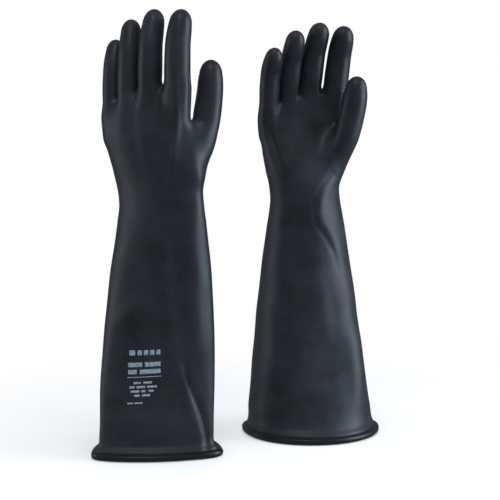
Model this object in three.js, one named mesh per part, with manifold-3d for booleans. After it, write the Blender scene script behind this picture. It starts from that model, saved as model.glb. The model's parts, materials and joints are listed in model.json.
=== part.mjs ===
// A pair of long black rubber gauntlet gloves, standing on their rolled cuffs: the left glove with the back
// of its hand to the front, and the right glove, further back, with its palm to the front.
// A real glove is one dipped skin of rubber with a rolled rim. It is divided here where it bends, so each
// finger has a lower part and a tip, and a soft fold of rubber before each of them. The wrist is a fold too,
// and the hand above it is a palm, with the thumb's stub, and the knuckles, with the fingers' stubs.
// Millimetres, +Z up, with the origin on the ground at the middle of the pair. The front is -Y.
import * as THREE from "three";
import { mergeVertices } from "three/addons/utils/BufferGeometryUtils.js";
import Module from "manifold-3d";

const wasm = await Module();
wasm.setup();

// Driving dimensions.
const WALL = 2; // thickness of the rubber
const GAP = 0.3; // left between neighbouring pieces
const BEAD = { radius: 3.8, outset: 1.4, sides: 8 }; // the rolled rim, whose middle is outset from the wall's
const WRIST = { height: 260, foldHalf: 15 };
const SLEEVE_SIDES = 24;
const FINGER_SIDES = 10;

// A finger's fold is short over the knuckle and long inside the bend, so that the finger can close.
const FOLD = { bend: 75, straighten: 15, spare: 0.6 };

// Each finger in the hand's frame: +X towards the thumb, +Y out of the palm, +Z towards the fingertips.
// root is on the finger's axis where it leaves its neighbours. knuckle, lower and tip are lengths along it.
const FINGERS = {
  index: { root: [29, 3, 382], knuckle: 14, lower: 31, tip: 32.5, radii: [13, 12.8, 11] },
  middle: { root: [0, 0, 380], knuckle: 15, lower: 31, tip: 35, radii: [12.2, 12.2, 11] },
  ring: { root: [-24, 1, 373], knuckle: 15, lower: 28.5, tip: 34.5, radii: [11.6, 11.4, 10.4] },
  little: { root: [-46, 7, 364], knuckle: 14, lower: 23.5, tip: 28.5, radii: [10.6, 10.2, 9.2] },
  thumb: { knuckle: 14, lower: 27, tip: 30.5, radii: [14.4, 13.1, 11.6] },
};
const BONE = { length: 34, taper: 0.6 }; // a finger's run back into the palm, and how narrow it ends
const TAPER = { atKnuckle: 2 / 3, atMiddle: 0.4 }; // how far each hinge's radius is towards the next of radii
const DOME_RINGS = [0, 35, 65]; // the rings of a fingertip's rounded end, in degrees from its edge
const THROUGH = 1; // the hand's hollow starts this much below its wall, so that it is open there
const KNUCKLE_LINE = 353; // the height where the palm ends and the knuckles begin, in the hand's frame
const THUMB_BENDS_TOWARDS = [-0.8, 0.6, 0];

// A glove's sleeve is a stack of sections: height, half width, depth to the back and to the palm side, centre
// x and y, and how far the section is turned towards the hand's own direction, in degrees.
// Its palm is a stack in the hand's frame, where each section slopes up towards the thumb by slope, in
// millimetres of height for each millimetre across. spread widens the row of the fingers' roots.
// lean and curl are how far each finger's lower part and tip lean towards the thumb and out of the palm.
const LEFT = {
  name: "left",
  at: [-82, -52],
  palmSide: 1, // the palm faces +Y
  sleeve: [
    { z: 7.9, a: 63.5, back: 19, front: 74, x: 1.3, y: -10.5, turn: -6 },
    { z: 14, a: 60.3, back: 16, front: 70, x: 0.4, y: -8.5, turn: -5.5 },
    { z: 26, a: 59.5, back: 16.5, front: 66, x: 0.1, y: -7, turn: -5 },
    { z: 80, a: 59.3, back: 20.5, front: 55, x: 1.7, y: -2.5, turn: -2 },
    { z: 132, a: 57.3, back: 26, front: 45, x: 3.6, y: 1, turn: 3 },
    { z: 184, a: 54.2, back: 27, front: 37, x: 4.9, y: 3, turn: 9 },
    { z: 225, a: 50.3, back: 26.5, front: 31, x: 6.2, y: 5, turn: 16 },
    { z: 245, a: 48.7, back: 26, front: 28, x: 6.6, y: 6, turn: 20 },
    { z: 260, a: 47.4, back: 25, front: 27, x: 6.3, y: 6, turn: 23 },
    { z: 275, a: 47.8, back: 24.5, front: 27, x: 4.8, y: 6, turn: 25 },
  ],
  hand: { origin: [-4.5, 3, 0], turn: 25, lean: 0 },
  palm: [
    { z: 296, a: 50.2, back: 24, front: 26, x: 6.1, y: 3, slope: 0 },
    { z: 322, a: 49.6, back: 22, front: 23, x: -1.8, y: 2, slope: 0.03 },
    { z: 348, a: 48.6, back: 20, front: 20, x: -6.2, y: 2, slope: 0.1 },
    { z: 364, a: 48.5, back: 17, front: 17, x: -7.2, y: 3, slope: 0.2 },
    { z: 373, a: 46, back: 11, front: 11, x: -7.5, y: 4, slope: 0.22 },
  ],
  spread: 1.04,
  lean: { index: [-1, 3], middle: [-1.3, 0.3], ring: [-2.3, -4.5], little: [-4, -2.5], thumb: [4, 1] },
  curl: { index: [4, 13], middle: [6, 17], ring: [7, 18], little: [10, 19], thumb: [6, 4] },
  thumbMound: [
    { at: [20, 7, 299], radius: 13.5 },
    { at: [34, 13, 311], radius: 19.5 },
    { at: [42, 19, 323], radius: 18 },
  ],
  thumbRoot: [50.4, 27, 338],
};
const RIGHT = {
  name: "right",
  at: [82, 52],
  palmSide: -1, // the palm faces the front
  sleeve: [
    { z: 7.9, a: 71.5, back: 40, front: 67, x: 1.1, y: 4, turn: 2 },
    { z: 14, a: 69.4, back: 37, front: 63, x: 0.7, y: 3, turn: 2 },
    { z: 30, a: 67.8, back: 35, front: 60, x: -0.1, y: 2, turn: 2 },
    { z: 86, a: 60.8, back: 32.5, front: 55, x: -2.9, y: 1.5, turn: 1 },
    { z: 143, a: 54.5, back: 32, front: 47, x: -3.8, y: 2, turn: 2 },
    { z: 200, a: 47.4, back: 31, front: 38, x: -4.9, y: 4, turn: 5 },
    { z: 229, a: 43.1, back: 30, front: 34, x: -5.2, y: 5, turn: 7 },
    { z: 245, a: 40, back: 29, front: 33, x: -5.4, y: 6, turn: 8 },
    { z: 260, a: 38.3, back: 28.5, front: 32, x: -6, y: 6, turn: 9 },
    { z: 275, a: 39.2, back: 27.5, front: 31, x: -6.9, y: 6, turn: 10 },
  ],
  hand: { origin: [-12.7, 3, -5], turn: 10, lean: 5 },
  palm: [
    { z: 296, a: 43, back: 24, front: 26, x: 2.3, y: 3, slope: 0 },
    { z: 322, a: 46.8, back: 22, front: 23, x: -0.7, y: 2, slope: 0.03 },
    { z: 348, a: 48, back: 20, front: 20, x: -4.2, y: 2, slope: 0.1 },
    { z: 364, a: 47, back: 17, front: 17, x: -5.5, y: 3, slope: 0.2 },
    { z: 373, a: 43.5, back: 11, front: 11, x: -6, y: 4, slope: 0.22 },
  ],
  spread: 0.97,
  lean: { index: [-1.5, -1.5], middle: [-0.5, 2], ring: [-2, -1], little: [-5, 2], thumb: [5, -1] },
  curl: { index: [13, 36], middle: [13, 34], ring: [14, 35], little: [16, 35], thumb: [10, 14] },
  thumbMound: [
    { at: [17.5, 7, 299], radius: 12.5 },
    { at: [28.5, 13, 310], radius: 17 },
    { at: [36.5, 20, 322], radius: 16.5 },
  ],
  thumbRoot: [39, 29, 332],
};

// The rubber, as a nearly black satin finish.
const rubber = new THREE.MeshStandardMaterial({ color: 0x1d2024, roughness: 0.42, metalness: 0 });
const foldRubber = new THREE.MeshStandardMaterial({ color: 0x202328, roughness: 0.46, metalness: 0 });

const UP = new THREE.Vector3(0, 0, 1);
const radians = THREE.MathUtils.degToRad;
const vector = (p) => new THREE.Vector3(...p);

// The triangles between two rings of points that run the same way round. A ring of one point is a tip.
function band(points, a, b) {
  const count = Math.max(a.length, b.length);
  for (let i = 0; i < count; i++) {
    const j = (i + 1) % count;
    if (a.length > 1) points.push(a[i], a[j], b.length > 1 ? b[j] : b[0]);
    if (b.length > 1) points.push(a.length > 1 ? a[i] : a[0], b[j], b[i]);
  }
}

function geometryOf(loop) {
  const points = [];
  loop.slice(1).forEach((ring, i) => band(points, loop[i], ring));
  const geometry = new THREE.BufferGeometry().setFromPoints(points);
  geometry.computeVertexNormals();
  return geometry;
}

// A wall between an outer and an inner stack of rings, open at both ends or closed at a shared tip.
const wallGeometry = (outer, inner) => geometryOf([...outer, ...inner.slice().reverse(), outer[0]]);

// The solid body inside one stack of rings, with a point to close each end.
function plugGeometry(rings) {
  const middle = (ring) => [
    ring.reduce((sum, p) => sum.add(p), new THREE.Vector3()).divideScalar(ring.length),
  ];
  return geometryOf([middle(rings[0]), ...rings, middle(rings[rings.length - 1])]);
}

function solid(geometry) {
  const bare = geometry.clone();
  bare.deleteAttribute("normal");
  const merged = mergeVertices(bare, 1e-3);
  return new wasm.Manifold(
    new wasm.Mesh({
      numProp: 3,
      vertProperties: merged.getAttribute("position").array,
      triVerts: new Uint32Array(merged.index.array),
    }),
  );
}

function geometryFrom(manifold) {
  const { vertProperties, triVerts } = manifold.getMesh();
  const geometry = new THREE.BufferGeometry();
  geometry.setAttribute("position", new THREE.BufferAttribute(vertProperties, 3));
  geometry.setIndex(new THREE.BufferAttribute(triVerts, 1));
  const flat = geometry.toNonIndexed();
  flat.computeVertexNormals();
  return flat;
}

// A ring round an oval that is deeper on the palm side than on the back.
function ovalRing(s, inset = 0) {
  const turn = radians(-(s.turn ?? 0));
  return Array.from({ length: SLEEVE_SIDES }, (_, i) => {
    const t = (2 * Math.PI * i) / SLEEVE_SIDES;
    const depth = (Math.sin(t) > 0 ? s.front : s.back) - inset;
    const across = (s.a - inset) * Math.cos(t);
    const point = new THREE.Vector3(across, depth * Math.sin(t), (s.slope ?? 0) * across);
    return point.applyAxisAngle(UP, turn).add(new THREE.Vector3(s.x, s.y, s.z));
  });
}

// A section between the ones that are stated, at any height.
function sectionAt(rows, z) {
  const next = rows.findIndex((r) => r.z >= z);
  const [low, high] = [rows[Math.max(next - 1, 0)], rows[next]];
  const share = high === low ? 0 : (z - low.z) / (high.z - low.z);
  return Object.fromEntries(Object.keys(low).map((k) => [k, low[k] + share * (high[k] - low[k])]));
}

// Takes the hand's frame to the glove's: the hand leans about the wrist, then turns about the arm.
function handMatrix({ origin, turn, lean }) {
  const toWrist = new THREE.Matrix4().makeTranslation(0, 0, -WRIST.height);
  const leaning = new THREE.Matrix4().makeRotationY(radians(lean));
  const turning = new THREE.Matrix4().makeRotationZ(radians(-turn));
  const back = new THREE.Matrix4().makeTranslation(origin[0], origin[1], WRIST.height + origin[2]);
  return back.multiply(turning).multiply(leaning).multiply(toWrist);
}

// The way a finger's half points, from how far it leans towards the thumb and out of the palm.
function direction(lean, curl) {
  return new THREE.Vector3(Math.tan(radians(lean)), Math.tan(radians(curl)), 1).normalize();
}

// A finger's pivots, directions and bending axis, in the glove's frame.
function fingerLine(name, glove, toGlove) {
  const finger = FINGERS[name];
  const root = name === "thumb" ? vector(glove.thumbRoot) : vector(finger.root);
  if (name !== "thumb") root.x *= glove.spread;
  const [lowWay, highWay] = [0, 1].map((i) => direction(glove.lean[name][i], glove.curl[name][i]));
  const knuckle = root.clone().addScaledVector(lowWay, finger.knuckle);
  const middle = knuckle.clone().addScaledVector(lowWay, finger.lower);
  const end = middle.clone().addScaledVector(highWay, finger.tip);
  const bendTo = name === "thumb" ? vector(THUMB_BENDS_TOWARDS) : new THREE.Vector3(0, 1, 0);
  const axis = lowWay.clone().cross(bendTo).normalize();
  [root, knuckle, middle, end].forEach((p) => p.applyMatrix4(toGlove));
  [lowWay, highWay, axis].forEach((v) => v.transformDirection(toGlove));
  return { root, knuckle, middle, end, lowWay, highWay, axis, radii: finger.radii };
}

// A ring round a finger, tilted about the bending axis by slope (lengthwise per palmward millimetre).
function fingerRing(centre, way, axis, radius, slope = 0) {
  const palmward = axis.clone().cross(way).normalize();
  const across = way.clone().cross(palmward);
  return Array.from({ length: FINGER_SIDES }, (_, i) => {
    const t = (2 * Math.PI * i) / FINGER_SIDES;
    const p = centre.clone().addScaledVector(across, radius * Math.cos(t));
    p.addScaledVector(palmward, -radius * Math.sin(t));
    return p.addScaledVector(way, -radius * Math.sin(t) * slope);
  });
}

// How far a fold reaches from its pivot along the finger's middle, and the slope of its ends.
function foldShape(radius) {
  const inside = radius * Math.tan(radians(FOLD.bend / 2)) + FOLD.spare;
  const outside = radius * Math.tan(radians(FOLD.straighten / 2)) + FOLD.spare;
  return { half: (inside + outside) / 2, slope: (inside - outside) / (2 * radius) };
}

// The rings of a finger's pieces, outer and inner: stub, root fold, lower part, middle fold and tip.
function fingerRings(line, inset) {
  const [r0, r1, r2] = line.radii.map((r) => r - inset);
  const rKnuckle = r0 + TAPER.atKnuckle * (r1 - r0);
  const rMiddle = r1 + TAPER.atMiddle * (r2 - r1);
  const low = foldShape(rKnuckle + inset);
  const high = foldShape(rMiddle + inset);
  const bisector = line.lowWay.clone().add(line.highWay).normalize();
  const ring = (pivot, way, along, radius, slope) =>
    fingerRing(pivot.clone().addScaledVector(way, along), way, line.axis, radius, slope);
  const from = low.half + GAP / 2;
  const to = high.half + GAP / 2;
  const domeStart = line.middle.distanceTo(line.end) - (line.radii[2] - inset) - inset;
  const dome = DOME_RINGS.map((deg) =>
    ring(line.middle, line.highWay, domeStart + r2 * Math.sin(radians(deg)), r2 * Math.cos(radians(deg))),
  );
  return {
    stub: [
      ring(line.root, line.lowWay, -BONE.length, r0 * BONE.taper),
      ring(line.root, line.lowWay, 0, r0),
      ring(line.knuckle, line.lowWay, -from, rKnuckle, -low.slope),
    ],
    stubCut: ring(line.knuckle, line.lowWay, 2 * low.half, rKnuckle),
    rootFold: [
      ring(line.knuckle, line.lowWay, GAP / 2 - low.half, rKnuckle, -low.slope),
      ring(line.knuckle, line.lowWay, 0, rKnuckle),
      ring(line.knuckle, line.lowWay, low.half - GAP / 2, rKnuckle, low.slope),
    ],
    lower: [
      ring(line.knuckle, line.lowWay, from, rKnuckle, low.slope),
      ring(line.middle, line.lowWay, -to, rMiddle, -high.slope),
    ],
    middleFold: [
      ring(line.middle, line.lowWay, GAP / 2 - high.half, rMiddle, -high.slope),
      fingerRing(line.middle, bisector, line.axis, rMiddle),
      ring(line.middle, line.highWay, high.half - GAP / 2, rMiddle, high.slope),
    ],
    tip: [
      ring(line.middle, line.highWay, to, rMiddle, high.slope),
      ...dome,
      [line.middle.clone().addScaledVector(line.highWay, domeStart + r2)],
    ],
  };
}

// A limb of round sections from point to point, as the mound of the thumb.
function moundRings(points, inset, toGlove) {
  return points.map(({ at, radius }, i) => {
    const [before, after] = [points[Math.max(i - 1, 0)], points[Math.min(i + 1, points.length - 1)]];
    const way = vector(after.at).sub(vector(before.at)).transformDirection(toGlove);
    const side = new THREE.Vector3(0, 1, 0).cross(way).negate().normalize();
    return fingerRing(vector(at).applyMatrix4(toGlove), way, side, radius - inset);
  });
}

// The hand between the wrist fold and the finger folds, outside or inside, as one solid.
function palmSolid(glove, toGlove, lines, inset) {
  const base = sectionAt(glove.sleeve, WRIST.height + WRIST.foldHalf);
  const lowered = glove.palm.map((s) => ({ ...s, z: s.z - inset }));
  const rows = lowered.map((s) => ovalRing(s, inset).map((p) => p.applyMatrix4(toGlove)));
  const start = { ...base, z: base.z + GAP / 2 - (inset ? THROUGH : 0) };
  const palm = plugGeometry([ovalRing(start, inset), ...rows]);
  const thumb = lines.thumb;
  const mound = moundRings(glove.thumbMound, inset, toGlove);
  const parts = [solid(palm), solid(plugGeometry([...mound, ...fingerRings(thumb, inset).stub.slice(1)]))];
  for (const [name, line] of Object.entries(lines)) {
    const { stub, stubCut } = fingerRings(line, inset);
    const rings = inset ? [...stub, stubCut] : stub;
    parts.push(solid(plugGeometry(name === "thumb" ? rings.slice(1) : rings)));
  }
  return parts.reduce((sum, part) => sum.add(part));
}

// The solid ring of the rolled rim, flat underneath where it stands.
function beadGeometry(rim) {
  const flat = Math.cos(Math.PI / BEAD.sides);
  const rings = Array.from({ length: BEAD.sides }, (_, i) => {
    const t = (2 * Math.PI * (i + 0.5)) / BEAD.sides;
    const out = BEAD.outset + (BEAD.radius / flat) * Math.cos(t);
    return ovalRing({ ...rim, z: BEAD.radius + (BEAD.radius / flat) * Math.sin(t) }, -out);
  });
  return geometryOf([...rings, rings[0]]);
}

function mesh(name, geometry, material = rubber) {
  const made = new THREE.Mesh(geometry, material);
  made.name = name;
  return made;
}

// A fold carries the line that it bends about. A positive turn bends it towards the palm.
function foldMesh(name, geometry, pivot, axis) {
  const made = mesh(name, geometry, foldRubber);
  made.userData.hinge = { pivot, axis };
  return made;
}

function gloveGroup(glove) {
  const group = new THREE.Group();
  const [foldLow, foldHigh] = [WRIST.height - WRIST.foldHalf, WRIST.height + WRIST.foldHalf];
  const stack = (rows) => [0, WALL].map((inset) => rows.map((s) => ovalRing(s, inset)));
  const sleeveRows = [
    ...glove.sleeve.filter((s) => s.z < foldLow),
    { ...sectionAt(glove.sleeve, foldLow), z: foldLow - GAP / 2 },
  ];
  const foldHeights = [foldLow + GAP / 2, WRIST.height, foldHigh - GAP / 2];
  const foldRows = foldHeights.map((z) => sectionAt(glove.sleeve, z));
  group.add(mesh(`${glove.name}_cuff_bead`, beadGeometry(glove.sleeve[0])));
  group.add(mesh(`${glove.name}_sleeve`, wallGeometry(...stack(sleeveRows))));
  const wrist = sectionAt(glove.sleeve, WRIST.height);
  const wristPivot = new THREE.Vector3(wrist.x, wrist.y, wrist.z);
  const palmward = new THREE.Vector3(0, 1, 0).applyAxisAngle(UP, -radians(glove.hand.turn));
  const wristAxis = UP.clone().cross(palmward);
  const wristFold = wallGeometry(...stack(foldRows));
  group.add(foldMesh(`${glove.name}_wrist_fold`, wristFold, wristPivot, wristAxis));

  const toGlove = handMatrix(glove.hand);
  const lines = Object.fromEntries(Object.keys(FINGERS).map((f) => [f, fingerLine(f, glove, toGlove)]));
  const hand = palmSolid(glove, toGlove, lines, 0).subtract(palmSolid(glove, toGlove, lines, WALL));
  const up = UP.clone().transformDirection(toGlove);
  const cut = new THREE.Vector3(0, 0, KNUCKLE_LINE).applyMatrix4(toGlove).dot(up);
  const palm = hand.trimByPlane(up.clone().negate().toArray(), GAP / 2 - cut);
  const knuckles = hand.trimByPlane(up.toArray(), cut + GAP / 2);
  group.add(mesh(`${glove.name}_palm`, geometryFrom(palm)));
  group.add(mesh(`${glove.name}_knuckles`, geometryFrom(knuckles)));

  for (const [name, line] of Object.entries(lines)) {
    const [outer, inner] = [fingerRings(line, 0), fingerRings(line, WALL)];
    const wall = (part) => wallGeometry(outer[part], inner[part]);
    const label = `${glove.name}_${name}`;
    group.add(foldMesh(`${label}_root_fold`, wall("rootFold"), line.knuckle, line.axis));
    group.add(mesh(`${label}_lower`, wall("lower")));
    group.add(foldMesh(`${label}_middle_fold`, wall("middleFold"), line.middle, line.axis));
    group.add(mesh(`${label}_tip`, wall("tip")));
  }
  group.position.set(glove.at[0], glove.at[1], 0);
  group.scale.y = glove.palmSide;
  return group;
}

const pair = new THREE.Group();
pair.add(gloveGroup(LEFT), gloveGroup(RIGHT));
const middle = new THREE.Box3().setFromObject(pair).getCenter(new THREE.Vector3());
pair.position.set(-middle.x, -middle.y, 0);

export default pair;
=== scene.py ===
"""A pair of long black rubber gauntlet gloves, standing on their rolled rims.

Each glove's skin is one smooth surface, found from the frame's joints and a few sections, and then
divided where the glove bends. A glove is worked out in millimetres in a frame of its own: u runs towards
its thumb, p out of its palm, and z up. The right glove is the mirror image, with p towards the camera.
"""

import json
import math

import bpy
import numpy as np
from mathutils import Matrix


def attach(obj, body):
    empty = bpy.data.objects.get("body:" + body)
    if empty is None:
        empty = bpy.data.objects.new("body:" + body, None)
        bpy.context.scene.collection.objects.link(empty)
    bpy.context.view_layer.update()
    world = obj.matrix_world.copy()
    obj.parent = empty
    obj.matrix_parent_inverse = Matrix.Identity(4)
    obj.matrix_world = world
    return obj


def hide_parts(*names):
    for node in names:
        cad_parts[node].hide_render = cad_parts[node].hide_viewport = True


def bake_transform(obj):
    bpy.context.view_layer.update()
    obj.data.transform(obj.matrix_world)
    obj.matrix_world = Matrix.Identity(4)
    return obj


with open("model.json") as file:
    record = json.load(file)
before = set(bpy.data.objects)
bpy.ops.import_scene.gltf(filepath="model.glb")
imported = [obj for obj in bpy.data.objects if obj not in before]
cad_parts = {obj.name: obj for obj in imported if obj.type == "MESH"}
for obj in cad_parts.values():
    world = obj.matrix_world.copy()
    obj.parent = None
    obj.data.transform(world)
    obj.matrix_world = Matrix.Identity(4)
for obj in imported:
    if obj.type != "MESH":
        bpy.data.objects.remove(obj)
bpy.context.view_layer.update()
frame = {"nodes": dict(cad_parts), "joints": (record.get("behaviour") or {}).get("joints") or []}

MM = 0.001
CELL = 1.5  # the size of the skin's mesh
WALL = 2.0  # the thickness of the rubber
SKIN_BOTTOM = 3.0  # the skin starts at this height, inside the rolled rim
FAR = 99.0  # a field's value where it is too far away to matter
FINGERS = ("index", "middle", "ring", "little", "thumb")
WRIST_HEIGHT = 260.0
WRIST_BEND = 24.0  # the wrist bends over this much to each side of its hinge

# A fingertip is half an oval. Its length, and the balls that fill it, each by how far along it is and its
# radius, are all for a tip with a radius of one.
END = {"length": 1.35, "balls": [(0.2, 0.975), (0.4, 0.8975), (0.52, 0.819), (0.609, 0.741)]}

# A finger's line from the palm to its tip: the joint that each point is near, how far before it along the
# lower part and past it along the upper part, and the radius, as shares of the finger's and the tip's radii
# and a little more.
FINGER_LINE = [
    ("knuckle", 9, 0, (1.02, 0, 0)),
    ("knuckle", -4, 0, (1.05, 0, 0)),
    ("middle", 13, 0, (1.02, 0, 0)),
    ("middle", 1, 1, (0.6, 0.4, 0.4)),
    ("middle", 0, 10, (0.3, 0.7, 0.5)),
]
BONE = [(48, 0.6), (22, 0.95)]  # its start inside the palm: how far before the knuckle, and radius
TIP = {"share": 0.93, "more": 0.4}  # the tip's radius, from the frame's faceted tip
BEND_REACH = 0.78  # a bend's reach to each side of its joint, for a radius and an angle of one

# side is -1 for a mirrored glove, and wrist is its wrist hinge's u and p. The sleeve's sections are height,
# half width, depth to the back and to the palm side, centre u and p, and turn. hand places the hand on the
# arm: u, p and z moves, then its turn about the arm and its lean to the thumb. The palm's sections, and the
# mound of the thumb, as points and radii, are in the hand's own frame. longer adds to the fingers' ends.
GLOVES = {
    "left": {
        "side": 1,
        "seeds": {"skin": 7, "rim": 3},
        "wrist": (6.3, 6.0),
        "sleeve": [
            (0, 64.5, 19.0, 74, 1.5, -10.5, -6),
            (7.9, 63.5, 19.0, 74, 1.3, -10.5, -6),
            (14, 60.3, 16.0, 70, 0.4, -8.5, -5.5),
            (26, 59.5, 16.5, 66, 0.1, -7, -5),
            (80, 59.3, 20.5, 55, 1.7, -2.5, -2),
            (132, 57.3, 26.0, 45, 3.6, 1, 3),
            (184, 54.2, 27.0, 37, 4.9, 3, 9),
            (225, 50.3, 26.5, 31, 6.2, 5, 16),
            (245, 48.7, 26.0, 28, 6.6, 6, 20),
            (260, 47.4, 25.0, 27, 6.3, 6, 23),
            (275, 47.8, 24.5, 27, 4.8, 6, 25),
        ],
        "hand": {"move": (-4.5, 3, 0), "turn": 25, "lean": 0},
        "longer": {"index": 1.6, "middle": 1.6, "ring": 2.0, "little": 3.0, "thumb": 0.8},
        "palm": [
            (296, 50.4, 21.5, 31, 6.6, 3),
            (322, 49.4, 22, 27, -1.5, 2),
            (348, 48.2, 18, 17, -6.2, 2),
            (364, 47.6, 13, 11, -7.2, 3),
            (378, 46.5, 9, 8, -7.5, 3.5),
            (392, 44.5, 7, 6, -7.5, 3),
        ],
        "mound": [((16, 4, 284), 15), ((31, 10, 302), 20), ((43, 18, 320), 18.5)],
    },
    "right": {
        "side": -1,
        "seeds": {"skin": 8, "rim": 4},
        "wrist": (-6.0, 6.0),
        "sleeve": [
            (0, 72.0, 40.0, 67, 1.1, 4, 2),
            (7.9, 71.5, 40.0, 67, 1.1, 4, 2),
            (14, 69.4, 37.0, 63, 0.7, 3, 2),
            (30, 67.8, 35.0, 60, -0.1, 2, 2),
            (86, 60.8, 32.5, 55, -2.9, 1.5, 1),
            (143, 54.5, 32.0, 47, -3.8, 2, 2),
            (200, 47.4, 31.0, 38, -4.9, 4, 5),
            (229, 43.1, 30.0, 34, -5.2, 5, 7),
            (245, 40.0, 29.0, 33, -5.4, 6, 8),
            (260, 38.3, 28.5, 32, -6.0, 6, 9),
            (275, 39.2, 27.5, 31, -6.9, 6, 10),
        ],
        "hand": {"move": (-12.7, 3, -5), "turn": 10, "lean": 5},
        "longer": {"index": 0, "middle": -0.4, "ring": -0.3, "little": 0, "thumb": 0},
        "palm": [
            (296, 43.0, 24, 30, 2.3, 3),
            (322, 46.4, 22, 24.5, -0.9, 2),
            (348, 46.4, 18, 16, -4.4, 2),
            (364, 45.4, 13, 10, -5.2, 3),
            (378, 44.0, 9, 7, -6, 4),
            (392, 42.0, 7, 6, -6, 5),
        ],
        "mound": [((10, 2, 284), 13), ((21.5, 9, 303), 16), ((33, 18.5, 320), 15.5)],
    },
}
PALM_TOP = {"height": 376.5, "slope": 0.33}  # the webs rise towards the thumb
MERGE = {"finger": 11.0, "thumb": 15.0, "web": 5.0, "top": 14.0}  # how softly the shapes run together
WEB_FADE = {"gap": 1.0, "over": 4.0}  # the webs end this far below the cuts, and fade over this height
NEAR_FINGER = 6.0  # a finger owns the surface up to this far from it


def smooth_min(a, b, k):
    k = np.maximum(k, 1e-3)
    h = np.maximum(k - np.abs(a - b), 0) / k
    return np.minimum(a, b) - h * h * k / 4


def smooth_max(a, b, k):
    return -smooth_min(-a, -b, k)


def smooth_step(t):
    t = np.clip(t, 0, 1)
    return t * t * (3 - 2 * t)


def rotation(axis, degrees):
    """A matrix that turns by the right-hand rule about u, p or z."""
    c, s = math.cos(math.radians(degrees)), math.sin(math.radians(degrees))
    i, j = {"u": (1, 2), "p": (2, 0), "z": (0, 1)}[axis]
    m = np.eye(3)
    m[i, i], m[i, j], m[j, i], m[j, j] = c, -s, s, c
    return m


def smooth_columns(rows, step=1.0):
    """The rows, whose first column is a height, filled in with smooth curves through them."""
    rows = np.array(rows, float)
    z = rows[:, 0]
    slope = np.diff(rows, axis=0) / np.diff(z)[:, None]
    tangent = np.vstack([slope[:1], (slope[1:] + slope[:-1]) / 2, slope[-1:]])
    turns = slope[1:] * slope[:-1] <= 0
    tangent[1:-1][turns] = 0
    dense = np.arange(z[0], z[-1] + step, step)
    i = np.clip(np.searchsorted(z, dense, side="right") - 1, 0, len(z) - 2)
    span = (z[i + 1] - z[i])[:, None]
    t = (dense - z[i])[:, None] / span
    curve = (
        (2 * t**3 - 3 * t**2 + 1) * rows[i]
        + (t**3 - 2 * t**2 + t) * span * tangent[i]
        + (3 * t**2 - 2 * t**3) * rows[i + 1]
        + (t**3 - t**2) * span * tangent[i + 1]
    )
    curve[:, 0] = dense
    return curve


def rounded_line(points, radii, rounds=3):
    """A line of points with radii, with its corners cut again and again until it is smooth."""
    line = np.column_stack([np.array(points, float), radii])
    for _ in range(rounds):
        near, far = line[:-1], line[1:]
        cut = np.stack([near * 0.75 + far * 0.25, near * 0.25 + far * 0.75], 1).reshape(-1, 4)
        line = np.vstack([line[:1], cut[1:-1], line[-1:]])
    return line[:, :3], line[:, 3]


class Finger:
    """A finger's or thumb's measures, from the frame, in its glove's millimetres."""

    def __init__(self, glove, name):
        self.name = name
        base, end = f"{glove.name}_{name}_base", f"{glove.name}_{name}_end"
        self.root_joint, self.middle_joint = joint_of(base), joint_of(end)
        self.knuckle = glove.local(np.array(self.root_joint["pos_m"]) / MM)
        self.middle = glove.local(np.array(self.middle_joint["pos_m"]) / MM)
        tip = glove.local(node_points(f"{glove.name}_{name}_tip"))
        self.apex = tip[np.argmax(np.linalg.norm(tip - self.middle, axis=1))]
        self.low = unit(self.middle - self.knuckle)
        self.high = unit(self.apex - self.middle)
        self.apex = self.apex + self.high * GLOVES[glove.name]["longer"][name]
        lower = glove.local(node_points(f"{glove.name}_{name}_lower"))
        self.radius = self.reach(lower, self.knuckle, self.low)
        half = np.linalg.norm(self.apex - self.middle) * 0.5
        straight = tip[(tip - self.middle) @ self.high < half]
        self.tip_radius = self.reach(straight, self.middle, self.high) * TIP["share"]
        self.root_zone = self.zone(self.root_joint)
        self.middle_zone = self.zone(self.middle_joint)
        self.cut = -self.root_zone - CELL / 2  # from the knuckle to where the palm's piece ends
        length = np.linalg.norm(self.middle - self.knuckle)
        self.divide = (self.root_zone + length - self.middle_zone) / 2  # to where the tip's piece starts

    @staticmethod
    def reach(points, start, way):
        """The furthest that the points are from a line."""
        away = points - start
        return np.linalg.norm(away - np.outer(away @ way, way), axis=1).max()

    def zone(self, joint):
        """Half the length of skin round a joint where no piece is cut, which grows with the joint's range
        and the finger's radius.
        """
        most = math.radians(max(abs(v) for v in joint["range_deg"]))
        return BEND_REACH * most * self.radius

    def line(self, start, start_radii):
        """The finger's points and radii, from the start given to the last ball in its oval end."""
        r, t = self.radius, self.tip_radius + TIP["more"]
        points, radii = list(start), list(start_radii)
        joints = {"knuckle": self.knuckle, "middle": self.middle}
        for joint, before, past, (of_finger, of_tip, more) in FINGER_LINE:
            points.append(joints[joint] - self.low * before + self.high * past)
            radii.append(r * of_finger + t * of_tip + more)
        points.append(self.apex - self.high * t * END["length"])
        radii.append(t)
        points, radii = rounded_line(points, radii)
        for along, share in END["balls"]:
            points = np.vstack([points, self.apex + self.high * t * (along - END["length"])])
            radii = np.append(radii, t * share)
        return points, radii


def unit(v):
    return v / np.linalg.norm(v)


def joint_of(body):
    return next(j for j in frame["joints"] if j["child"] == body)


def node_points(node):
    mesh = frame["nodes"][node].data
    co = np.zeros(len(mesh.vertices) * 3)
    mesh.vertices.foreach_get("co", co)
    return co.reshape(-1, 3) / MM


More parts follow.
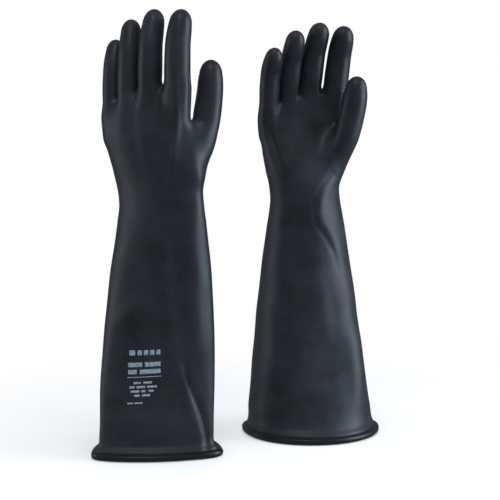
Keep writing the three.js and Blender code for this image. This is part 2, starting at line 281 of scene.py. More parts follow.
class Glove:
    """One glove's place, shape and fields. A field is negative inside the glove's outer surface."""

    def __init__(self, name):
        spec = GLOVES[name]
        self.name, self.side = name, spec["side"]
        wrist = np.array(joint_of(f"{name}_hand")["pos_m"]) / MM
        hinge_u, hinge_p = spec["wrist"]
        self.origin = np.array([wrist[0] - hinge_u, wrist[1] - self.side * hinge_p, 0])
        hand = spec["hand"]
        self.hand_turn = rotation("z", -hand["turn"]) @ rotation("p", hand["lean"])
        self.hand_move = np.array(hand["move"]) + (0, 0, WRIST_HEIGHT)
        self.rim = spec["sleeve"][1]
        self.mound = spec["mound"]
        palm = [self.palm_row(row, hand["turn"]) for row in spec["palm"]]
        self.sections = smooth_columns(spec["sleeve"] + palm)
        self.fingers = [Finger(self, name) for name in FINGERS]
        self.lines = [self.finger_line(f) for f in self.fingers]

    def local(self, points):
        return (np.asarray(points) - self.origin) * (1, self.side, 1)

    def world(self, points):
        return (np.asarray(points) * (1, self.side, 1) + self.origin) * MM

    def from_hand(self, point):
        return self.hand_turn @ (np.array(point, float) - (0, 0, WRIST_HEIGHT)) + self.hand_move

    def palm_row(self, row, turn):
        height, half, back, front, u, p = row
        centre = self.from_hand((u, p, height))
        return (centre[2], half, back, front, centre[0], centre[1], turn)

    def finger_line(self, finger):
        if finger.name == "thumb":
            start = [self.from_hand(point) for point, _ in self.mound]
            return finger.line(start, [radius for _, radius in self.mound])
        start = [finger.knuckle - finger.low * before for before, _ in BONE]
        return finger.line(start, [finger.radius * share for _, share in BONE])

    def stack(self, u, p, z):
        """The arm and palm without fingers."""
        heights, *columns = self.sections.T
        half, back, front, cu, cp, turn = (np.interp(z, heights, column) for column in columns)
        c, s = np.cos(np.radians(turn)), np.sin(np.radians(turn))
        x = (u - cu) * c - (p - cp) * s
        y = (u - cu) * s + (p - cp) * c
        depth = np.where(y > 0, front, back)
        k0 = np.sqrt((x / half) ** 2 + (y / depth) ** 2)
        k1 = np.sqrt((x / half**2) ** 2 + (y / depth**2) ** 2)
        body = k0 * (k0 - 1) / np.maximum(k1, 1e-5)
        m, o = self.hand_turn, self.hand_move
        across = (u - o[0]) * m[0, 0] + (p - o[1]) * m[1, 0] + (z - o[2]) * m[2, 0]
        up = (u - o[0]) * m[0, 2] + (p - o[1]) * m[1, 2] + (z - o[2]) * m[2, 2] + WRIST_HEIGHT
        top = up - (PALM_TOP["height"] + PALM_TOP["slope"] * across)
        return smooth_max(body, top, MERGE["top"])

    def tube(self, i, u, p, z):
        """Finger i by itself."""
        points, radii = self.lines[i]
        best = None
        for a, b, ra, rb in zip(points[:-1], points[1:], radii[:-1], radii[1:]):
            length = np.linalg.norm(b - a)
            way = (b - a) / length
            lean = (ra - rb) / math.sqrt(length**2 - (ra - rb) ** 2)
            du, dp, dz = u - a[0], p - a[1], z - a[2]
            along = du * way[0] + dp * way[1] + dz * way[2]
            across = np.sqrt(np.maximum(du * du + dp * dp + dz * dz - along * along, 0))
            at = np.clip(along - across * lean, 0, length)
            field = np.sqrt(across**2 + (along - at) ** 2) - (ra + at / length * (rb - ra))
            best = field if best is None else np.minimum(best, field)
        return best

    def joined(self, i, palm, tube):
        """Finger i run softly into the palm."""
        thumb = self.fingers[i].name == "thumb"
        return smooth_min(palm, tube, MERGE["thumb" if thumb else "finger"])

    def whole(self, palm, tubes, z):
        """The palm and all the fingers, which meet softly below where they are cut from the palm."""
        fingers = tubes[0]
        for i, tube in enumerate(tubes[1:4], 1):
            pair = self.fingers[i - 1 : i + 1]
            cut = min((finger.knuckle + finger.low * finger.cut)[2] for finger in pair)
            below = np.clip((cut - WEB_FADE["gap"] - z) / WEB_FADE["over"], 0, 1)
            fingers = smooth_min(fingers, tube, MERGE["web"] * below)
        return self.joined(4, self.joined(0, palm, fingers), tubes[4])

    def beyond_cut(self, i, points):
        """Whether each point is past the line where finger i is cut from the palm."""
        finger = self.fingers[i]
        past = (points - finger.knuckle) @ finger.low > finger.cut
        return past & (self.tube(i, *points.T) < NEAR_FINGER)

    def owner(self, points):
        """The nearest finger to each point, where the point is past that finger's cut, or -1."""
        tubes = np.array([self.tube(i, *points.T) for i in range(len(FINGERS))])
        nearest = tubes.argmin(0)
        for i in range(len(FINGERS)):
            nearest[(nearest == i) & ~self.beyond_cut(i, points)] = -1
        return nearest

    def field(self, points, layer):
        """The field at each point, with every finger where layer is -1, or else with that one alone."""
        result = self.stack(*points.T)
        for i in range(len(FINGERS)):
            mine = layer == i
            result[mine] = self.joined(i, result[mine], self.tube(i, *points[mine].T))
        some = points[layer == -1]
        tubes = [self.tube(i, *some.T) for i in range(len(FINGERS))]
        result[layer == -1] = self.whole(result[layer == -1], tubes, some[:, 2])
        return result

    def gradient(self, points, layer, step=0.4):
        """The field and its slope."""
        corners = np.array([(1, -1, -1), (-1, -1, 1), (-1, 1, -1), (1, 1, 1)]) * step
        values = [self.field(points + c, layer) for c in corners]
        slope = sum(v[:, None] * c for v, c in zip(values, corners)) / (4 * step * step)
        return sum(values) / 4, slope


class Grid:
    """A grid over one glove. Each cell has a number, which is the same in every part of the grid."""

    def __init__(self, low, high):
        self.low = np.array(low, float)
        self.count = np.ceil((np.array(high) - self.low) / CELL).astype(int)

    def part(self, low, high):
        start = np.clip(((low - self.low) // CELL).astype(int), 0, self.count - 2)
        stop = np.clip(((high - self.low) // CELL).astype(int) + 2, start + 2, self.count)
        return tuple(slice(a, b) for a, b in zip(start, stop))

    def axes(self, part):
        return np.ix_(*[self.low[k] + CELL * np.arange(s.start, s.stop) for k, s in enumerate(part)])

    def surface(self, values, part):
        """A net of quads round the points inside: its cells' numbers, their points, and the quads."""
        start = np.array([s.start for s in part])
        inside = values < 0
        corner = [(i, j, k) for i in (0, 1) for j in (0, 1) for k in (0, 1)]
        size = np.array(values.shape) - 1
        total = sum(
            inside[i : i + size[0], j : j + size[1], k : k + size[2]].astype(np.int8)
            for i, j, k in corner
        )
        cells = np.argwhere((total > 0) & (total < 8))
        at = {c: values[tuple((cells + c).T)] for c in corner}
        summed, crossings = np.zeros((len(cells), 3)), np.zeros(len(cells))
        for a in corner:
            for axis in range(3):
                if a[axis]:
                    continue
                b = tuple(v + (k == axis) for k, v in enumerate(a))
                crosses = (at[a] < 0) != (at[b] < 0)
                t = np.where(crosses, at[a] / np.where(crosses, at[a] - at[b], 1), 0)
                place = np.array(a, float) + t[:, None] * np.eye(3)[axis]
                summed += np.where(crosses[:, None], place, 0)
                crossings += crosses
        points = self.low + CELL * (cells + start + summed / crossings[:, None])
        quads = []
        for axis in range(3):
            near = np.take(inside, range(values.shape[axis] - 1), axis)
            far = np.take(inside, range(1, values.shape[axis]), axis)
            edges = np.argwhere(near != far)
            others = [k for k in range(3) if k != axis]
            whole = np.all([(edges[:, k] > 0) & (edges[:, k] < size[k]) for k in others], axis=0)
            edges = edges[whole]
            e1, e2 = np.eye(3, dtype=int)[others]  # each ring goes anticlockwise, seen from outside
            ring = np.stack([edges - e1 - e2, edges - e2, edges, edges - e1], 1)
            flip = near[tuple(edges.T)] == (axis == 1)
            ring[flip] = ring[flip][:, ::-1]
            quads.append(ring)
        return self.number(cells + start), points, self.number(np.vstack(quads) + start)

    def number(self, cells):
        return (cells[..., 0] * self.count[1] + cells[..., 1]) * self.count[2] + cells[..., 2]


# The grid's sides: u, its least p, and the p that holds the sleeve. It has room past the fingers' lines, and
# each finger's own part of it goes on past where the finger merges.
GRID = {"u": 84, "back": -48, "front": 78, "room": 16, "past": 4}
KEYS = 8  # more than the layers in a cell


def skin_net(glove):
    """The glove's outer skin as one net: its points and their layers, its quads and their fingers or -1."""
    lines = np.vstack([points for points, _ in glove.lines])
    front, top = lines[:, 1:].max(0) + GRID["room"]
    grid = Grid((-GRID["u"], GRID["back"], SKIN_BOTTOM), (GRID["u"], max(GRID["front"], front), top))
    whole = tuple(slice(0, n) for n in grid.count)
    u, p, z = grid.axes(whole)
    palm = glove.stack(u, p, z)
    tubes, alone = [], []
    for i in range(len(FINGERS)):
        points, radii = glove.lines[i]
        reach = radii.max() + MERGE["thumb"] + GRID["past"]
        part = grid.part(points.min(0) - reach, points.max(0) + reach)
        tube = np.full(palm.shape, FAR)
        tube[part] = glove.tube(i, *grid.axes(part))
        tubes.append(tube)
        alone.append((glove.joined(i, palm[part], tube[part]), part))
    everything = glove.whole(palm, tubes, z)

    found = [(-1, everything, whole)] + [(i, *alone[i]) for i in range(len(FINGERS))]
    keys, places, layers, quads, owners = [], [], [], [], []
    palm_cells = None
    for layer, values, part in found:
        cells, points, ring = grid.surface(values, part)
        order = np.argsort(cells)
        cells, points = cells[order], points[order]
        corners = np.searchsorted(cells, ring)
        middle = points[corners].mean(1)
        mine = glove.owner(middle) == -1 if layer == -1 else glove.beyond_cut(layer, middle)
        ring, corners = ring[mine], corners[mine]
        used = np.unique(corners)
        key = cells[used] * KEYS + (layer + 1)
        if layer >= 0:  # where a finger meets the palm, both use the palm's points
            shared = np.isin(cells[used], palm_cells)
            key[shared] = cells[used][shared] * KEYS
        else:
            palm_cells = cells[used]
        table = np.zeros(len(cells), np.int64)
        table[used] = key
        keys.append(key)
        places.append(points[used])
        layers.append(np.full(len(used), layer))
        quads.append(table[corners])
        owners.append(np.full(len(corners), layer))
    keys = np.concatenate(keys)
    unique, first = np.unique(keys, return_index=True)
    points, layers = np.vstack(places)[first], np.concatenate(layers)[first]
    return points, layers, np.searchsorted(unique, np.vstack(quads)), np.concatenate(owners)


def edges_of(quads):
    edges = np.sort(np.vstack([quads[:, [k, (k + 1) % 4]] for k in range(4)]), axis=1)
    return np.unique(edges, axis=0)


def averaged(points, edges):
    """Each point moved to the middle of its neighbours."""
    a, b = edges.T
    n = len(points)
    count = np.bincount(a, minlength=n) + np.bincount(b, minlength=n)
    total = np.stack(
        [
            np.bincount(a, points[b, k], minlength=n) + np.bincount(b, points[a, k], minlength=n)
            for k in range(3)
        ],
        1,
    )
    return total / np.maximum(count, 1)[:, None]


def normals_of(points, quads):
    a, b, c, d = (points[quads[:, k]] for k in range(4))
    face = np.cross(c - a, d - b)
    total = np.zeros_like(points)
    for k in range(4):
        for axis in range(3):
            total[:, axis] += np.bincount(quads[:, k], face[:, axis], minlength=len(points))
    return total / np.maximum(np.linalg.norm(total, axis=1), 1e-9)[:, None]


SPREAD = (0.5, 0.5, 0.35)  # how far each pass moves a point towards the middle of its neighbours
LEAST_SLOPE = 0.2  # a field's squared slope counts as at least this, so that no point is thrown far


def settle(glove, points, layers, quads):
    """The net's points spread evenly and brought exactly to the surface."""
    edges = edges_of(quads)
    rim = points[:, 2] < SKIN_BOTTOM + CELL * 2
    for weight in SPREAD:
        moved = points + weight * (averaged(points, edges) - points)
        moved[rim] = points[rim]
        points = moved
        for _ in range(2):
            value, slope = glove.gradient(points, layers)
            steep = np.maximum((slope**2).sum(1), LEAST_SLOPE)
            step = -(value / steep)[:, None] * slope
            length = np.linalg.norm(step, axis=1)[:, None]
            points = points + step * np.minimum(1, CELL / np.maximum(length, 1e-6))
    return points


def new_mesh(name, points, faces, material, normals=None):
    mesh = bpy.data.meshes.new(name)
    mesh.from_pydata(np.asarray(points).tolist(), [], [list(map(int, f)) for f in faces])
    mesh.materials.append(material)
    mesh.shade_smooth()
    if normals is not None:
        mesh.normals_split_custom_set_from_vertices(np.asarray(normals).tolist())
    obj = bpy.data.objects.new(name, mesh)
    bpy.context.scene.collection.objects.link(obj)
    return obj


def open_edges(quads):
    """The edges that only one quad has, each in that quad's direction."""
    edges = np.vstack([quads[:, [k, (k + 1) % 4]] for k in range(4)])
    ordered = np.sort(edges, axis=1)
    _, index, count = np.unique(ordered, axis=0, return_index=True, return_counts=True)
    return edges[index[count == 1]]


def skin_piece(glove, name, points, normals, quads, material):
    """A piece of the skin, with its outer and inner faces and closed edges."""
    used, corners = np.unique(quads, return_inverse=True)
    corners = corners.reshape(-1, 4)
    outer, way = points[used], normals[used]
    n = len(used)
    inner = outer - way * WALL
    rim = open_edges(corners)
    walls = np.column_stack([rim[:, 1], rim[:, 0], rim[:, 0] + n, rim[:, 1] + n])
    faces = np.vstack([corners, corners[:, ::-1] + n, walls])
    if glove.side < 0:
        faces = faces[:, ::-1]
    flip = (1, glove.side, 1)
    return new_mesh(
        f"{glove.name}_glove_{name}",
        glove.world(np.vstack([outer, inner])),
        faces,
        material,
        np.vstack([way, -way]) * flip,
    )


def make_skin(glove, material):
    points, layers, quads, owners = skin_net(glove)
    points = settle(glove, points, layers, quads)
    normals = normals_of(points, quads)
    points = points + normals * relief(glove, points, normals)[:, None]
    normals = normals_of(points, quads)
    middle = points[quads].mean(1)
    wrist_low, wrist_high = WRIST_HEIGHT - WRIST_BEND, WRIST_HEIGHT + WRIST_BEND
    body = owners == -1
    gauntlet, hand = f"{glove.name}_gauntlet", f"{glove.name}_hand"
    zones = {
        "sleeve": body & (middle[:, 2] < wrist_low - CELL),
        "wrist": body & (middle[:, 2] >= wrist_low - CELL) & (middle[:, 2] < wrist_high + CELL),
        "palm": body & (middle[:, 2] >= wrist_high + CELL),
    }

    def piece(name, mine):
        return skin_piece(glove, name, points, normals, quads[mine], material)

    made = {name: piece(name, mine) for name, mine in zones.items()}
    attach(made["sleeve"], gauntlet)
    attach(made["palm"], hand)
    at = glove.world((0, 0, 0))
    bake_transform(made["wrist"])
    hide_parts(f"{glove.name}_sleeve")
    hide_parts(f"{glove.name}_wrist_fold")
    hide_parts(f"{glove.name}_palm", f"{glove.name}_knuckles")
    for i, finger in enumerate(glove.fingers):
        own = f"{glove.name}_{finger.name}"
        base, end = f"{own}_base", f"{own}_end"
        along = (middle - finger.knuckle) @ finger.low
        lower = piece(f"{finger.name}_lower", (owners == i) & (along < finger.divide))
        upper = piece(f"{finger.name}_tip", (owners == i) & (along >= finger.divide))
        bends = (
            (lower, hand, base, finger.knuckle, finger.low, finger.root_zone),
            (upper, base, end, finger.middle, unit(finger.low + finger.high), finger.middle_zone),
        )
        for bent, a, b, pivot, way, zone in bends:
            start, stop = glove.world(pivot - way * zone), glove.world(pivot + way * zone)
            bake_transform(bent)
        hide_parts(f"{own}_root_fold", f"{own}_lower")
        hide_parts(f"{own}_middle_fold", f"{own}_tip")
        made[f"{finger.name}_lower"], made[f"{finger.name}_tip"] = lower, upper


# Soft folds, ridges and dents on each glove's side towards the camera: how far they stand out, their width,
# and the line that they follow, as u and z.
FOLDS = {
    "left": [
        (-2.4, 2.4, [(30, 104), (34, 82), (42, 60), (48, 42), (51, 26), (53, 8)]),
        (1.4, 5.0, [(31, 66), (38, 44), (44, 26), (47, 12)]),
        (1.7, 6.0, [(-42, 138), (-21, 156), (-5, 176), (3, 202)]),
        (-1.3, 6.5, [(-30, 128), (-12, 142), (4, 160), (12, 186)]),
        (1.1, 5.0, [(10, 262), (11, 200), (17, 125)]),
        (-1.7, 6.0, [(23, 256), (22, 190), (29, 130), (33, 92)]),
        (1.7, 5.5, [(40, 254), (41, 200), (43, 130), (47, 86)]),
        (1.6, 2.8, [(23, 402), (23.5, 372), (24, 340), (21, 306), (16, 284)]),
        (-1.2, 6.0, [(30, 362), (31, 340), (32, 315)]),
        (-1.0, 6.0, [(8, 356), (6, 335), (3, 300)]),
        (0.6, 4.5, [(-12, 350), (-10, 330), (-6, 305)]),
        (-0.6, 5.0, [(-24, 345), (-20, 325), (-14, 300)]),
    ],
    "right": [
        (-1.1, 2.3, [(22, 288), (10, 276), (3, 264), (1, 248), (5, 234), (15, 220), (24, 204), (30, 184)]),
        (3.3, 7.5, [(26, 286), (14, 275), (8, 262), (6.5, 248), (10, 236), (19, 226), (29, 208)]),
        (1.2, 6.0, [(40, 190), (44, 155), (48, 120), (50, 96)]),
        (4.6, 7.0, [(48, 118), (52, 80), (55, 40)]),
        (-4.6, 17.0, [(13, 126), (17, 80), (21, 38)]),
        (0.9, 7.0, [(-4, 254), (3, 200), (11, 130)]),
        (-0.9, 7.0, [(-18, 240), (-14, 190), (-8, 130)]),
        (-1.0, 6.0, [(20, 170), (25, 140), (28, 110)]),
        (1.8, 3.6, [(-44, 356), (-41, 334), (-34, 310), (-26, 290)]),
        (1.8, 4.0, [(36, 326), (29, 313), (18, 298), (7, 286)]),
        (-1.4, 6.0, [(-30, 350), (-26, 330), (-18, 312)]),
        (-1.8, 8.0, [(18, 344), (10, 324), (-2, 308)]),
    ],
}


# The swells of thin rubber standing under its own weight: waves in every direction, which rise over a height
# above the rim, and grow calmer over another height at the fingers.
SWELLS = {"count": 7, "height": 0.13, "lengths": (38, 80)}
RISE = {"from": 10, "over": 25}
CALM = {"from": 370, "over": 20, "by": 0.6}


def fold_distance(points, line):
    """Each point's distance from a line over u and z, and the line's strength, which fades at its ends."""
    line = np.array(line, float)
    distance = np.full(len(points), 1e9)
    place = np.zeros(len(points))
    flat = points[:, [0, 2]]
    for k, (a, b) in enumerate(zip(line[:-1], line[1:])):
        d = b - a
        t = np.clip((flat - a) @ d / (d @ d), 0, 1)
        away = np.linalg.norm(flat - a - t[:, None] * d, axis=1)
        closer = away < distance
        distance[closer] = away[closer]
        place[closer] = ((k + t) / (len(line) - 1))[closer]
    return distance, np.sin(np.pi * np.clip(place * 0.86 + 0.07, 0, 1)) ** 0.7


def relief(glove, points, way):
    """How far the skin stands out at each point, with its swells, dents and creases."""
    rng = np.random.default_rng(GLOVES[glove.name]["seeds"]["skin"])
    total = np.zeros(len(points))
    for _ in range(SWELLS["count"]):
        line = rng.normal(size=3)
        length = rng.uniform(*SWELLS["lengths"])
        phase = rng.uniform(0, 2 * math.pi)
        wave = np.sin(points @ line / np.linalg.norm(line) * (2 * math.pi / length) + phase)
        total += SWELLS["height"] * wave
    calm = 1 - CALM["by"] * smooth_step((points[:, 2] - CALM["from"]) / CALM["over"])
    total *= calm * smooth_step((points[:, 2] - RISE["from"]) / RISE["over"])
    facing = smooth_step((-glove.side * way[:, 1] + 0.1) / 0.5)
    for height, width, line in FOLDS[glove.name]:
        distance, strength = fold_distance(points, line)
        total += height * strength * facing * np.exp(-0.5 * (distance / width) ** 2)
    return total


def outline(row, count, outward):
    """Points round a section, moved outward, and the way out at each."""
    _, half, back, front, cu, cp, turn = row
    t = np.linspace(0, 2 * math.pi, count, endpoint=False)
    depth = np.where(np.sin(t) > 0, front, back)
    flat = np.column_stack([half * np.cos(t), depth * np.sin(t)])
    out = np.column_stack([np.cos(t) / half, np.sin(t) / depth])
    out /= np.linalg.norm(out, axis=1)[:, None]
    flat = flat + out * outward
    c, s = math.cos(math.radians(turn)), math.sin(math.radians(turn))
    turned = np.array([[c, s], [-s, c]])
    return flat @ turned.T + (cu, cp), out @ turned.T


BEAD = {"radius": 3.8, "outset": 1.4, "along": 220, "around": 28, "uneven": 0.035}
SEAM = {"angle": 1.15, "width": 0.16, "depth": 0.45}  # where the last turn of the roll ends


def make_bead(glove, material):
    """The rim: rubber rolled up into a bead, a little uneven, and flat where it stands."""
    rng = np.random.default_rng(GLOVES[glove.name]["seeds"]["rim"])
    centre, out = outline(glove.rim, BEAD["along"], BEAD["outset"])
    t = np.arange(BEAD["along"]) * 2 * math.pi / BEAD["along"]
    swell = sum(rng.normal() * BEAD["uneven"] * np.sin(k * t + rng.uniform(0, 6)) for k in range(2, 9))
    rings = []
    for k in range(BEAD["around"]):
        angle = 2 * math.pi * k / BEAD["around"]
        seam = math.exp(-(((angle - SEAM["angle"]) / SEAM["width"]) ** 2))
        radius = BEAD["radius"] * (1 + swell * 0.5) - SEAM["depth"] * seam
        flat = centre + out * (radius * math.cos(angle))[:, None]
        height = np.maximum(BEAD["radius"] + radius * math.sin(angle), 0)
        rings.append(np.column_stack([flat, height]))
    n, m = BEAD["along"], BEAD["around"]
    points = np.vstack(rings)
    faces = []
    for k in range(m):
        for i in range(n):
            j, low, high = (i + 1) % n, k * n, ((k + 1) % m) * n
            faces.append((low + i, low + j, high + j, high + i))
    faces = np.array(faces)
    if glove.side < 0:
        faces = faces[:, ::-1]
    bead = new_mesh(f"{glove.name}_rolled_rim", glove.world(points), faces, material)
    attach(bead, f"{glove.name}_gauntlet")
    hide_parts(f"{glove.name}_cuff_bead")


# The stamp: plain bars in rows. Each row has its height, how tall its bars are, and their ends in u.
STAMP = [
    (113.5, 5.2, [(-26, -20), (-17.5, -13.0), (-11.0, -6.5), (-4.5, 0.0), (2.0, 6.0)]),
    (101.0, 4.6, [(-27.5, -13.0), (-10.0, 6.0)]),
    (93.5, 4.6, [(-27.5, -18.5), (-15.5, 6.0)]),
    (88.0, 0.8, [(-28.5, 7.0)]),
    (82.0, 2.2, [(-22.0, -14.5), (-12.0, -3.0)]),
    (77.6, 2.2, [(-26.5, -21.0), (-19.0, -10.0), (-8.0, 2.0)]),
    (73.2, 2.2, [(-25.0, -16.0), (-14.0, -9.5), (-6.5, -1.5)]),
    (68.8, 2.2, [(-21.5, -16.0), (-13.5, -5.0)]),
    (61.0, 1.5, [(-28.5, -23.0), (-21.5, -13.0)]),
]
STAMP_SLANT = 0.06  # the rows rise towards the thumb
INK = {"thick": 0.12, "sunk": 0.03, "cell": 1.2}
BEHIND = -60.0  # a p that is behind the sleeve everywhere
HALVINGS = 22


def on_the_back(glove, u, z):
    """Points on the back of the sleeve, found by halving, with the way out at each."""
    low, high = np.full(len(u), BEHIND), np.full(len(u), 0.0)
    for _ in range(HALVINGS):
        middle = (low + high) / 2
        outside = glove.stack(u, middle, z) > 0
        low, high = np.where(outside, middle, low), np.where(outside, high, middle)
    points = np.column_stack([u, high, z])
    _, slope = glove.gradient(points, np.full(len(u), -1))
    return points, slope / np.linalg.norm(slope, axis=1)[:, None]


def make_stamp(glove, material):
    points, faces = [], []
    for height, tall, bars in STAMP:
        for left, right in bars:
            wide, high = (max(2, round(size / INK["cell"])) for size in (right - left, tall))
            across, up = np.linspace(left, right, wide + 1), np.linspace(-tall / 2, tall / 2, high + 1)
            u, v = np.meshgrid(across, up)
            u, v = u.ravel(), v.ravel()
            skin, way = on_the_back(glove, u, height + v + STAMP_SLANT * u)
            skin = skin + way * relief(glove, skin, way)[:, None]
            n, start = len(u), sum(len(p) for p in points)
            points += [skin + way * (INK["sunk"] + INK["thick"]), skin - way * INK["sunk"]]
            quads = np.array(
                [
                    [r * (wide + 1) + c + k for k in (0, 1, wide + 2, wide + 1)]
                    for r in range(high)
                    for c in range(wide)
                ]
            )
            rim = open_edges(quads)
            walls = np.column_stack([rim[:, 1], rim[:, 0], rim[:, 0] + n, rim[:, 1] + n])
            faces.append(np.vstack([quads, quads[:, ::-1] + n, walls]) + start)
    place = glove.world(np.vstack(points))
    stamp = new_mesh(f"{glove.name}_size_stamp", place, np.vstack(faces), material)
    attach(stamp, f"{glove.name}_gauntlet")


def shader(name):
    material = bpy.data.materials.new(name)
    material.use_nodes = True
    nodes = material.node_tree.nodes
    return material, nodes, material.node_tree.links, nodes["Principled BSDF"]


# Each rubber's darkest and lightest colour, and its roughness.
RUBBERS = {
    "glove_rubber": ((0.010, 0.011, 0.013), (0.023, 0.026, 0.034), 0.45),
    "rim_rubber": ((0.006, 0.006, 0.007), (0.009, 0.010, 0.011), 0.36),
}
# Its shallow swells and its grain: scale, depth in metres, and strength.
BUMPS = {"swell": (90, 0.0006, 0.25), "grain": (2200, 0.00006, 0.35)}


def rubber(name):
    """Smooth dipped rubber: near black, faintly clouded, with a fine grain and a soft shine."""
    dark, light, roughness = RUBBERS[name]
    material, nodes, links, surface = shader(name)
    place = nodes.new("ShaderNodeTexCoord")

    def noise(scale, detail, rough=0.5):
        texture = nodes.new("ShaderNodeTexNoise")
        texture.inputs["Scale"].default_value = scale
        texture.inputs["Detail"].default_value = detail
        texture.inputs["Roughness"].default_value = rough
        links.new(place.outputs["Object"], texture.inputs["Vector"])
        return texture.outputs["Fac"]

    def spread(value, low, high):
        node = nodes.new("ShaderNodeMapRange")
        node.inputs["From Min"].default_value = 0.3
        node.inputs["From Max"].default_value = 0.7
        node.inputs["To Min"].default_value = low
        node.inputs["To Max"].default_value = high
        links.new(value, node.inputs["Value"])
        return node.outputs["Result"]

    cloud = noise(30, 6, 0.65)
    tone = nodes.new("ShaderNodeMix")
    tone.data_type = "RGBA"
    links.new(spread(cloud, 0, 1), tone.inputs["Factor"])
    tone.inputs["A"].default_value = (*dark, 1)
    tone.inputs["B"].default_value = (*light, 1)
    links.new(tone.outputs["Result"], surface.inputs["Base Color"])
    links.new(spread(noise(60, 3), roughness - 0.05, roughness + 0.05), surface.inputs["Roughness"])
    surface.inputs["Specular IOR Level"].default_value = 0.45
    grain, swell = nodes.new("ShaderNodeBump"), nodes.new("ShaderNodeBump")
    for bump, kind in ((swell, "swell"), (grain, "grain")):
        scale, distance, strength = BUMPS[kind]
        bump.inputs["Distance"].default_value = distance
        bump.inputs["Strength"].default_value = strength
        links.new(noise(scale, 2), bump.inputs["Height"])
    links.new(swell.outputs["Normal"], grain.inputs["Normal"])
    links.new(grain.outputs["Normal"], surface.inputs["Normal"])
    return material


def ink(name):
    """Pale stamped ink, thin in places."""
    material, nodes, links, surface = shader(name)
    place = nodes.new("ShaderNodeTexCoord")
    texture = nodes.new("ShaderNodeTexNoise")
    texture.inputs["Scale"].default_value = 900
    texture.inputs["Detail"].default_value = 3
    links.new(place.outputs["Object"], texture.inputs["Vector"])
    ramp = nodes.new("ShaderNodeValToRGB")
    stops = ((0.36, (0.10, 0.13, 0.16, 1)), (0.52, (0.30, 0.38, 0.45, 1)))
    for element, (position, colour) in zip(ramp.color_ramp.elements, stops):
        element.position, element.color = position, colour
    links.new(texture.outputs["Fac"], ramp.inputs["Fac"])
    links.new(ramp.outputs["Color"], surface.inputs["Base Color"])
    surface.inputs["Roughness"].default_value = 0.6
    return material


FLOOR = {"half": 1.0, "glow": 0.24, "fades_from": 0.20, "fades_to": 0.50}  # in metres from the middle


def floor_material():
    """White, and fading away far from the gloves into the white surround."""
    material, nodes, links, surface = shader("floor_white")
    surface.inputs["Base Color"].default_value = (0.86, 0.86, 0.87, 1)
    surface.inputs["Roughness"].default_value = 0.22
    surface.inputs["Specular IOR Level"].default_value = 0.35
    surface.inputs["Emission Color"].default_value = (1, 0.96, 0.91, 1)
    surface.inputs["Emission Strength"].default_value = FLOOR["glow"]
    kinds = ("TexCoord", "VectorMath", "MapRange")
    place, length, fade = (nodes.new(f"ShaderNode{kind}") for kind in kinds)
    length.operation = "LENGTH"
    links.new(place.outputs["Object"], length.inputs[0])
    links.new(length.outputs["Value"], fade.inputs["Value"])
    fade.interpolation_type = "SMOOTHSTEP"
    for side, far, alpha in (("Min", FLOOR["fades_from"], 1.0), ("Max", FLOOR["fades_to"], 0.0)):
        fade.inputs[f"From {side}"].default_value = far
        fade.inputs[f"To {side}"].default_value = alpha
    links.new(fade.outputs["Result"], surface.inputs["Alpha"])
    return material


# The camera, from the left glove's own origin: how far to the right, in front and up, how many degrees it
# looks down, and its lens.
CAMERA = {"right": 97.6, "front": 1402.0, "height": 400.0, "down": 7.49, "lens": 98.9}


def make_camera(glove):
    data = bpy.data.cameras.new("camera")
    data.lens = CAMERA["lens"]
    camera = bpy.data.objects.new("camera", data)
    bpy.context.scene.collection.objects.link(camera)
    camera.location = (
        (glove.origin[0] + CAMERA["right"]) * MM,
        (glove.origin[1] - CAMERA["front"]) * MM,
        CAMERA["height"] * MM,
    )
    camera.rotation_euler = (math.radians(90 - CAMERA["down"]), 0, 0)
    bpy.context.scene.camera = camera


def area_light(name, place, aim, size, power, colour, shine):
    data = bpy.data.lights.new(name, "AREA")
    data.shape = "RECTANGLE"
    data.size, data.size_y = size
    data.energy = power
    data.color = colour
    light = bpy.data.objects.new(name, data)
    bpy.context.scene.collection.objects.link(light)
    light.location = place
    way = np.array(aim) - np.array(place)
    light.rotation_euler = (
        math.acos(-way[2] / np.linalg.norm(way)),
        0,
        math.atan2(way[1], way[0]) - math.pi / 2,
    )
    light.visible_glossy = shine
    light.visible_camera = False


# How bright the surround is to each kind of ray.
SURROUND = {"soft": 0.30, "mirrored": 0.20, "seen": 1.0}
WHITE, PALE_BLUE, COOL, BLUE = (1, 1, 1), (0.80, 0.90, 1), (0.82, 0.92, 1.0), (0.70, 0.85, 1.0)

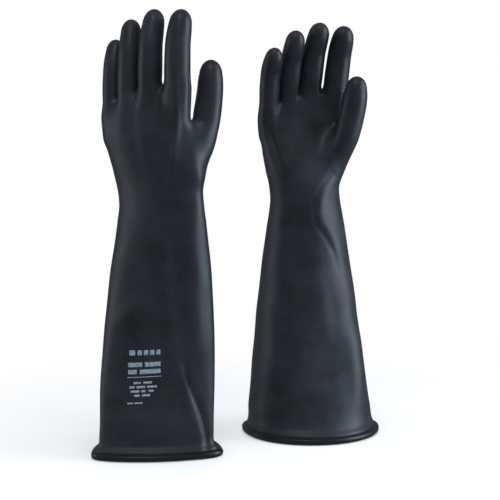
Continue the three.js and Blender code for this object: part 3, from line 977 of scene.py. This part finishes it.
# The soft boxes: place, aim, size, power, colour, and whether the rubber mirrors them.
LIGHTS = {
    "right_box": ((1.10, -0.14, 0.45), (0.05, 0, 0.22), (0.6, 1.2), 12, BLUE, True),
    "left_box": ((-1.30, -0.02, 0.30), (0, 0, 0.20), (0.5, 1.0), 2.8, COOL, True),
    "front_box": ((0.5, -1.9, 0.9), (0.1, 0, 0.25), (1.4, 1.0), 6.0, COOL, False),
    "top_box": ((0, -0.15, 2.0), (0, 0, 0), (0.8, 0.8), 24, WHITE, False),
    "tip_light": ((-0.2, -1.0, 1.8), (0, 0, 0.4), (0.25, 0.25), 4, WHITE, True),
}


def make_studio():
    """A white floor and surround, which the rubber doesn't mirror, and soft boxes all round."""
    far = FLOOR["half"]
    corners = [(-far, -far, 0), (far, -far, 0), (far, far, 0), (-far, far, 0)]
    floor = new_mesh("floor", corners, [(0, 1, 2, 3)], floor_material())
    floor.visible_glossy = False
    world = bpy.data.worlds.new("studio")
    world.use_nodes = True
    bpy.context.scene.world = world
    nodes, links = world.node_tree.nodes, world.node_tree.links
    path = nodes.new("ShaderNodeLightPath")
    shown = nodes["Background"]
    shown.inputs["Color"].default_value = (*PALE_BLUE, 1)
    shown.inputs["Strength"].default_value = SURROUND["soft"]
    for kind, output, colour in (
        ("mirrored", "Is Glossy Ray", PALE_BLUE),
        ("seen", "Is Camera Ray", WHITE),
    ):
        background, mix = nodes.new("ShaderNodeBackground"), nodes.new("ShaderNodeMixShader")
        background.inputs["Color"].default_value = (*colour, 1)
        background.inputs["Strength"].default_value = SURROUND[kind]
        links.new(path.outputs[output], mix.inputs["Fac"])
        links.new(shown.outputs[0], mix.inputs[1])
        links.new(background.outputs["Background"], mix.inputs[2])
        shown = mix
    links.new(shown.outputs["Shader"], nodes["World Output"].inputs["Surface"])
    for name, setting in LIGHTS.items():
        area_light(name, *setting)


bpy.context.scene.view_settings.view_transform = "Standard"
make_camera(Glove("left"))
skin, rolled = rubber("glove_rubber"), rubber("rim_rubber")
for glove in (Glove("left"), Glove("right")):
    make_skin(glove, skin)
    make_bead(glove, rolled)
    if glove.name == "left":
        make_stamp(glove, ink("print_ink"))
make_studio()
